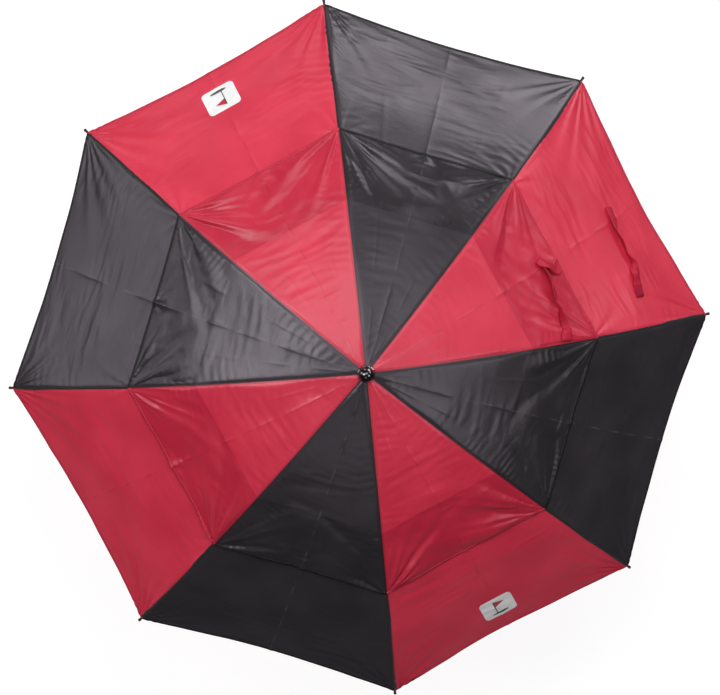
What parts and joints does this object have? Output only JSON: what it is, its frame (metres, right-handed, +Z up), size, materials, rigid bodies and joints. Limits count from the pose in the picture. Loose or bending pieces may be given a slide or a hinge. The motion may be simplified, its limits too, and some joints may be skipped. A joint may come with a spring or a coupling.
{
  "type": "golf umbrella",
  "caption": "Large open umbrella with a vented double canopy in alternating red and black panels, jointed ribs and stretchers on a sliding runner, and a straight foam grip.",
  "frame": {"origin": "centre of the handle's flat end, with the umbrella upright and open", "axes": "+Z up the shaft to the ferrule, +X along rib 1, ribs numbered anticlockwise seen from above"},
  "size_m": [1.3514, 1.3514, 0.9766],
  "materials": {
    "red_canopy": "thin glossy woven polyester",
    "black_canopy": "thin glossy woven polyester",
    "fibreglass": "black fibreglass rod",
    "shaft_paint": "gloss black tube",
    "nylon": "moulded black nylon",
    "ferrule_gloss": "polished black plastic",
    "bright_ring": "bright plated",
    "steel": "plain steel",
    "grip_foam": "fine-cell foam",
    "strap_red": "doubled polyester strap"
  },
  "bodies": {
    "shaft": {"shaft_tube": "shaft_paint", "crown": "nylon", "crown_ring": "steel", "canopy_washer": "nylon", "ferrule_ring": "bright_ring", "ferrule_cap": "ferrule_gloss", "runner_stop": "nylon", "catch_pins": "steel", "top_catch_spring": "steel", "bottom_catch_spring": "steel", "handle_grip": "grip_foam", "handle_end_cap": "nylon", "handle_collar": "ferrule_gloss"},
    "runner": {"runner": "nylon"},
    "top_catch": {"top_catch": "steel"},
    "bottom_catch": {"bottom_catch": "steel"},
    "rib_inner_1": {"rib_inner_1": "fibreglass"},
    "rib_outer_1": {"rib_outer_1": "fibreglass"},
    "stretcher_1": {"stretcher_1": "fibreglass"},
    "rib_inner_2": {"rib_inner_2": "fibreglass"},
    "rib_outer_2": {"rib_outer_2": "fibreglass"},
    "stretcher_2": {"stretcher_2": "fibreglass"},
    "rib_inner_3": {"rib_inner_3": "fibreglass"},
    "rib_outer_3": {"rib_outer_3": "fibreglass"},
    "stretcher_3": {"stretcher_3": "fibreglass"},
    "rib_inner_4": {"rib_inner_4": "fibreglass"},
    "rib_outer_4": {"rib_outer_4": "fibreglass"},
    "stretcher_4": {"stretcher_4": "fibreglass"},
    "rib_inner_5": {"rib_inner_5": "fibreglass"},
    "rib_outer_5": {"rib_outer_5": "fibreglass"},
    "stretcher_5": {"stretcher_5": "fibreglass"},
    "rib_inner_6": {"rib_inner_6": "fibreglass"},
    "rib_outer_6": {"rib_outer_6": "fibreglass"},
    "stretcher_6": {"stretcher_6": "fibreglass"},
    "rib_inner_7": {"rib_inner_7": "fibreglass"},
    "rib_outer_7": {"rib_outer_7": "fibreglass"},
    "stretcher_7": {"stretcher_7": "fibreglass"},
    "rib_inner_8": {"rib_inner_8": "fibreglass"},
    "rib_outer_8": {"rib_outer_8": "fibreglass"},
    "stretcher_8": {"stretcher_8": "fibreglass"},
    "upper_canopy_1": {"upper_panel_1": "red_canopy"},
    "lower_canopy_1": {"lower_panel_1": "red_canopy", "tie_strap_outer": "strap_red", "tie_strap_vent": "strap_red"},
    "upper_canopy_2": {"upper_panel_2": "black_canopy"},
    "lower_canopy_2": {"lower_panel_2": "black_canopy"},
    "upper_canopy_3": {"upper_panel_3": "red_canopy"},
    "lower_canopy_3": {"lower_panel_3": "red_canopy"},
    "upper_canopy_4": {"upper_panel_4": "black_canopy"},
    "lower_canopy_4": {"lower_panel_4": "black_canopy"},
    "upper_canopy_5": {"upper_panel_5": "red_canopy"},
    "lower_canopy_5": {"lower_panel_5": "red_canopy"},
    "upper_canopy_6": {"upper_panel_6": "black_canopy"},
    "lower_canopy_6": {"lower_panel_6": "black_canopy"},
    "upper_canopy_7": {"upper_panel_7": "red_canopy"},
    "lower_canopy_7": {"lower_panel_7": "red_canopy"},
    "upper_canopy_8": {"upper_panel_8": "black_canopy"},
    "lower_canopy_8": {"lower_panel_8": "black_canopy"}
  },
  "joints": [
    {"name": "runner_slide", "type": "slide", "parent": "shaft", "child": "runner", "axis": [0, 0, -1], "range_m": [0, 0.42562]},
    {"name": "top_catch_press", "type": "hinge", "parent": "shaft", "child": "top_catch", "pos_m": [0, 0, 0.70892], "axis": [0.3827, -0.9239, 0], "range_deg": [0, 7], "stiffness_Nm_per_rad": 0.3, "springref_deg": -2.86, "deforming": ["top_catch_spring"]},
    {"name": "bottom_catch_press", "type": "hinge", "parent": "shaft", "child": "bottom_catch", "pos_m": [0, 0, 0.33991], "axis": [-0.3827, 0.9239, 0], "range_deg": [0, 7], "stiffness_Nm_per_rad": 0.3, "springref_deg": -2.86, "deforming": ["bottom_catch_spring"]},
    {"name": "rib_1_fold", "type": "hinge", "parent": "shaft", "child": "rib_inner_1", "pos_m": [0.013, 0, 0.945], "axis": [0, 1, 0], "range_deg": [0, 72.11]},
    {"name": "rib_1_flex", "type": "hinge", "parent": "rib_inner_1", "child": "rib_outer_1", "pos_m": [0.31585, 0, 0.86196], "axis": [0, 1, 0], "range_deg": [-17.08, 0]},
    {"name": "stretcher_1_pivot", "type": "hinge", "parent": "rib_inner_1", "child": "stretcher_1", "pos_m": [0.29806, 0, 0.86061], "axis": [0, 1, 0], "range_deg": [-144.22, 0]},
    {"name": "rib_2_fold", "type": "hinge", "parent": "shaft", "child": "rib_inner_2", "pos_m": [0.00919, 0.00919, 0.945], "axis": [-0.7071, 0.7071, 0], "range_deg": [0, 72.11]},
    {"name": "rib_2_flex", "type": "hinge", "parent": "rib_inner_2", "child": "rib_outer_2", "pos_m": [0.22334, 0.22334, 0.86196], "axis": [-0.7071, 0.7071, 0], "range_deg": [-17.08, 0]},
    {"name": "stretcher_2_pivot", "type": "hinge", "parent": "rib_inner_2", "child": "stretcher_2", "pos_m": [0.21076, 0.21076, 0.86061], "axis": [-0.7071, 0.7071, 0], "range_deg": [-144.22, 0]},
    {"name": "rib_3_fold", "type": "hinge", "parent": "shaft", "child": "rib_inner_3", "pos_m": [0, 0.013, 0.945], "axis": [-1, 0, 0], "range_deg": [0, 72.11]},
    {"name": "rib_3_flex", "type": "hinge", "parent": "rib_inner_3", "child": "rib_outer_3", "pos_m": [0, 0.31585, 0.86196], "axis": [-1, 0, 0], "range_deg": [-17.08, 0]},
    {"name": "stretcher_3_pivot", "type": "hinge", "parent": "rib_inner_3", "child": "stretcher_3", "pos_m": [0, 0.29806, 0.86061], "axis": [-1, 0, 0], "range_deg": [-144.22, 0]},
    {"name": "rib_4_fold", "type": "hinge", "parent": "shaft", "child": "rib_inner_4", "pos_m": [-0.00919, 0.00919, 0.945], "axis": [-0.7071, -0.7071, 0], "range_deg": [0, 72.11]},
    {"name": "rib_4_flex", "type": "hinge", "parent": "rib_inner_4", "child": "rib_outer_4", "pos_m": [-0.22334, 0.22334, 0.86196], "axis": [-0.7071, -0.7071, 0], "range_deg": [-17.08, 0]},
    {"name": "stretcher_4_pivot", "type": "hinge", "parent": "rib_inner_4", "child": "stretcher_4", "pos_m": [-0.21076, 0.21076, 0.86061], "axis": [-0.7071, -0.7071, 0], "range_deg": [-144.22, 0]},
    {"name": "rib_5_fold", "type": "hinge", "parent": "shaft", "child": "rib_inner_5", "pos_m": [-0.013, 0, 0.945], "axis": [0, -1, 0], "range_deg": [0, 72.11]},
    {"name": "rib_5_flex", "type": "hinge", "parent": "rib_inner_5", "child": "rib_outer_5", "pos_m": [-0.31585, 0, 0.86196], "axis": [0, -1, 0], "range_deg": [-17.08, 0]},
    {"name": "stretcher_5_pivot", "type": "hinge", "parent": "rib_inner_5", "child": "stretcher_5", "pos_m": [-0.29806, 0, 0.86061], "axis": [0, -1, 0], "range_deg": [-144.22, 0]},
    {"name": "rib_6_fold", "type": "hinge", "parent": "shaft", "child": "rib_inner_6", "pos_m": [-0.00919, -0.00919, 0.945], "axis": [0.7071, -0.7071, 0], "range_deg": [0, 72.11]},
    {"name": "rib_6_flex", "type": "hinge", "parent": "rib_inner_6", "child": "rib_outer_6", "pos_m": [-0.22334, -0.22334, 0.86196], "axis": [0.7071, -0.7071, 0], "range_deg": [-17.08, 0]},
    {"name": "stretcher_6_pivot", "type": "hinge", "parent": "rib_inner_6", "child": "stretcher_6", "pos_m": [-0.21076, -0.21076, 0.86061], "axis": [0.7071, -0.7071, 0], "range_deg": [-144.22, 0]},
    {"name": "rib_7_fold", "type": "hinge", "parent": "shaft", "child": "rib_inner_7", "pos_m": [0, -0.013, 0.945], "axis": [1, 0, 0], "range_deg": [0, 72.11]},
    {"name": "rib_7_flex", "type": "hinge", "parent": "rib_inner_7", "child": "rib_outer_7", "pos_m": [0, -0.31585, 0.86196], "axis": [1, 0, 0], "range_deg": [-17.08, 0]},
    {"name": "stretcher_7_pivot", "type": "hinge", "parent": "rib_inner_7", "child": "stretcher_7", "pos_m": [0, -0.29806, 0.86061], "axis": [1, 0, 0], "range_deg": [-144.22, 0]},
    {"name": "rib_8_fold", "type": "hinge", "parent": "shaft", "child": "rib_inner_8", "pos_m": [0.00919, -0.00919, 0.945], "axis": [0.7071, 0.7071, 0], "range_deg": [0, 72.11]},
    {"name": "rib_8_flex", "type": "hinge", "parent": "rib_inner_8", "child": "rib_outer_8", "pos_m": [0.22334, -0.22334, 0.86196], "axis": [0.7071, 0.7071, 0], "range_deg": [-17.08, 0]},
    {"name": "stretcher_8_pivot", "type": "hinge", "parent": "rib_inner_8", "child": "stretcher_8", "pos_m": [0.21076, -0.21076, 0.86061], "axis": [0.7071, 0.7071, 0], "range_deg": [-144.22, 0]},
    {"name": "canopy_1_fold", "type": "hinge", "parent": "shaft", "child": "upper_canopy_1", "pos_m": [0.01077, 0.00446, 0.94522], "axis": [-0.3827, 0.9239, 0], "range_deg": [0, 71.07], "deforming": ["upper_panel_1"]},
    {"name": "canopy_1_flex", "type": "hinge", "parent": "upper_canopy_1", "child": "lower_canopy_1", "pos_m": [0.3157, 0.13077, 0.96652], "axis": [-0.3827, 0.9239, 0], "range_deg": [-17.94, 0], "deforming": ["lower_panel_1", "tie_strap_outer", "tie_strap_vent"]},
    {"name": "canopy_2_fold", "type": "hinge", "parent": "shaft", "child": "upper_canopy_2", "pos_m": [0.00446, 0.01077, 0.94522], "axis": [-0.9239, 0.3827, 0], "range_deg": [0, 71.07], "deforming": ["upper_panel_2"]},
    {"name": "canopy_2_flex", "type": "hinge", "parent": "upper_canopy_2", "child": "lower_canopy_2", "pos_m": [0.13077, 0.3157, 0.96652], "axis": [-0.9239, 0.3827, 0], "range_deg": [-17.94, 0], "deforming": ["lower_panel_2"]},
    {"name": "canopy_3_fold", "type": "hinge", "parent": "shaft", "child": "upper_canopy_3", "pos_m": [-0.00446, 0.01077, 0.94522], "axis": [-0.9239, -0.3827, 0], "range_deg": [0, 71.07], "deforming": ["upper_panel_3"]},
    {"name": "canopy_3_flex", "type": "hinge", "parent": "upper_canopy_3", "child": "lower_canopy_3", "pos_m": [-0.13077, 0.3157, 0.96652], "axis": [-0.9239, -0.3827, 0], "range_deg": [-17.94, 0], "deforming": ["lower_panel_3"]},
    {"name": "canopy_4_fold", "type": "hinge", "parent": "shaft", "child": "upper_canopy_4", "pos_m": [-0.01077, 0.00446, 0.94522], "axis": [-0.3827, -0.9239, 0], "range_deg": [0, 71.07], "deforming": ["upper_panel_4"]},
    {"name": "canopy_4_flex", "type": "hinge", "parent": "upper_canopy_4", "child": "lower_canopy_4", "pos_m": [-0.3157, 0.13077, 0.96652], "axis": [-0.3827, -0.9239, 0], "range_deg": [-17.94, 0], "deforming": ["lower_panel_4"]},
    {"name": "canopy_5_fold", "type": "hinge", "parent": "shaft", "child": "upper_canopy_5", "pos_m": [-0.01077, -0.00446, 0.94522], "axis": [0.3827, -0.9239, 0], "range_deg": [0, 71.07], "deforming": ["upper_panel_5"]},
    {"name": "canopy_5_flex", "type": "hinge", "parent": "upper_canopy_5", "child": "lower_canopy_5", "pos_m": [-0.3157, -0.13077, 0.96652], "axis": [0.3827, -0.9239, 0], "range_deg": [-17.94, 0], "deforming": ["lower_panel_5"]},
    {"name": "canopy_6_fold", "type": "hinge", "parent": "shaft", "child": "upper_canopy_6", "pos_m": [-0.00446, -0.01077, 0.94522], "axis": [0.9239, -0.3827, 0], "range_deg": [0, 71.07], "deforming": ["upper_panel_6"]},
    {"name": "canopy_6_flex", "type": "hinge", "parent": "upper_canopy_6", "child": "lower_canopy_6", "pos_m": [-0.13077, -0.3157, 0.96652], "axis": [0.9239, -0.3827, 0], "range_deg": [-17.94, 0], "deforming": ["lower_panel_6"]},
    {"name": "canopy_7_fold", "type": "hinge", "parent": "shaft", "child": "upper_canopy_7", "pos_m": [0.00446, -0.01077, 0.94522], "axis": [0.9239, 0.3827, 0], "range_deg": [0, 71.07], "deforming": ["upper_panel_7"]},
    {"name": "canopy_7_flex", "type": "hinge", "parent": "upper_canopy_7", "child": "lower_canopy_7", "pos_m": [0.13077, -0.3157, 0.96652], "axis": [0.9239, 0.3827, 0], "range_deg": [-17.94, 0], "deforming": ["lower_panel_7"]},
    {"name": "canopy_8_fold", "type": "hinge", "parent": "shaft", "child": "upper_canopy_8", "pos_m": [0.01077, -0.00446, 0.94522], "axis": [0.3827, 0.9239, 0], "range_deg": [0, 71.07], "deforming": ["upper_panel_8"]},
    {"name": "canopy_8_flex", "type": "hinge", "parent": "upper_canopy_8", "child": "lower_canopy_8", "pos_m": [0.3157, -0.13077, 0.96652], "axis": [0.3827, 0.9239, 0], "range_deg": [-17.94, 0], "deforming": ["lower_panel_8"]}
  ],
  "couplings": [
    {"joint": "rib_1_fold", "follows": "runner_slide", "rad_per_m": 2.9571},
    {"joint": "rib_1_flex", "follows": "runner_slide", "rad_per_m": -0.70043},
    {"joint": "stretcher_1_pivot", "follows": "runner_slide", "rad_per_m": -5.9142},
    {"joint": "rib_2_fold", "follows": "runner_slide", "rad_per_m": 2.9571},
    {"joint": "rib_2_flex", "follows": "runner_slide", "rad_per_m": -0.70043},
    {"joint": "stretcher_2_pivot", "follows": "runner_slide", "rad_per_m": -5.9142},
    {"joint": "rib_3_fold", "follows": "runner_slide", "rad_per_m": 2.9571},
    {"joint": "rib_3_flex", "follows": "runner_slide", "rad_per_m": -0.70043},
    {"joint": "stretcher_3_pivot", "follows": "runner_slide", "rad_per_m": -5.9142},
    {"joint": "rib_4_fold", "follows": "runner_slide", "rad_per_m": 2.9571},
    {"joint": "rib_4_flex", "follows": "runner_slide", "rad_per_m": -0.70043},
    {"joint": "stretcher_4_pivot", "follows": "runner_slide", "rad_per_m": -5.9142},
    {"joint": "rib_5_fold", "follows": "runner_slide", "rad_per_m": 2.9571},
    {"joint": "rib_5_flex", "follows": "runner_slide", "rad_per_m": -0.70043},
    {"joint": "stretcher_5_pivot", "follows": "runner_slide", "rad_per_m": -5.9142},
    {"joint": "rib_6_fold", "follows": "runner_slide", "rad_per_m": 2.9571},
    {"joint": "rib_6_flex", "follows": "runner_slide", "rad_per_m": -0.70043},
    {"joint": "stretcher_6_pivot", "follows": "runner_slide", "rad_per_m": -5.9142},
    {"joint": "rib_7_fold", "follows": "runner_slide", "rad_per_m": 2.9571},
    {"joint": "rib_7_flex", "follows": "runner_slide", "rad_per_m": -0.70043},
    {"joint": "stretcher_7_pivot", "follows": "runner_slide", "rad_per_m": -5.9142},
    {"joint": "rib_8_fold", "follows": "runner_slide", "rad_per_m": 2.9571},
    {"joint": "rib_8_flex", "follows": "runner_slide", "rad_per_m": -0.70043},
    {"joint": "stretcher_8_pivot", "follows": "runner_slide", "rad_per_m": -5.9142},
    {"joint": "canopy_1_fold", "follows": "runner_slide", "rad_per_m": 2.9145},
    {"joint": "canopy_1_flex", "follows": "runner_slide", "rad_per_m": -0.73568},
    {"joint": "canopy_2_fold", "follows": "runner_slide", "rad_per_m": 2.9145},
    {"joint": "canopy_2_flex", "follows": "runner_slide", "rad_per_m": -0.73568},
    {"joint": "canopy_3_fold", "follows": "runner_slide", "rad_per_m": 2.9145},
    {"joint": "canopy_3_flex", "follows": "runner_slide", "rad_per_m": -0.73568},
    {"joint": "canopy_4_fold", "follows": "runner_slide", "rad_per_m": 2.9145},
    {"joint": "canopy_4_flex", "follows": "runner_slide", "rad_per_m": -0.73568},
    {"joint": "canopy_5_fold", "follows": "runner_slide", "rad_per_m": 2.9145},
    {"joint": "canopy_5_flex", "follows": "runner_slide", "rad_per_m": -0.73568},
    {"joint": "canopy_6_fold", "follows": "runner_slide", "rad_per_m": 2.9145},
    {"joint": "canopy_6_flex", "follows": "runner_slide", "rad_per_m": -0.73568},
    {"joint": "canopy_7_fold", "follows": "runner_slide", "rad_per_m": 2.9145},
    {"joint": "canopy_7_flex", "follows": "runner_slide", "rad_per_m": -0.73568},
    {"joint": "canopy_8_fold", "follows": "runner_slide", "rad_per_m": 2.9145},
    {"joint": "canopy_8_flex", "follows": "runner_slide", "rad_per_m": -0.73568}
  ]
}
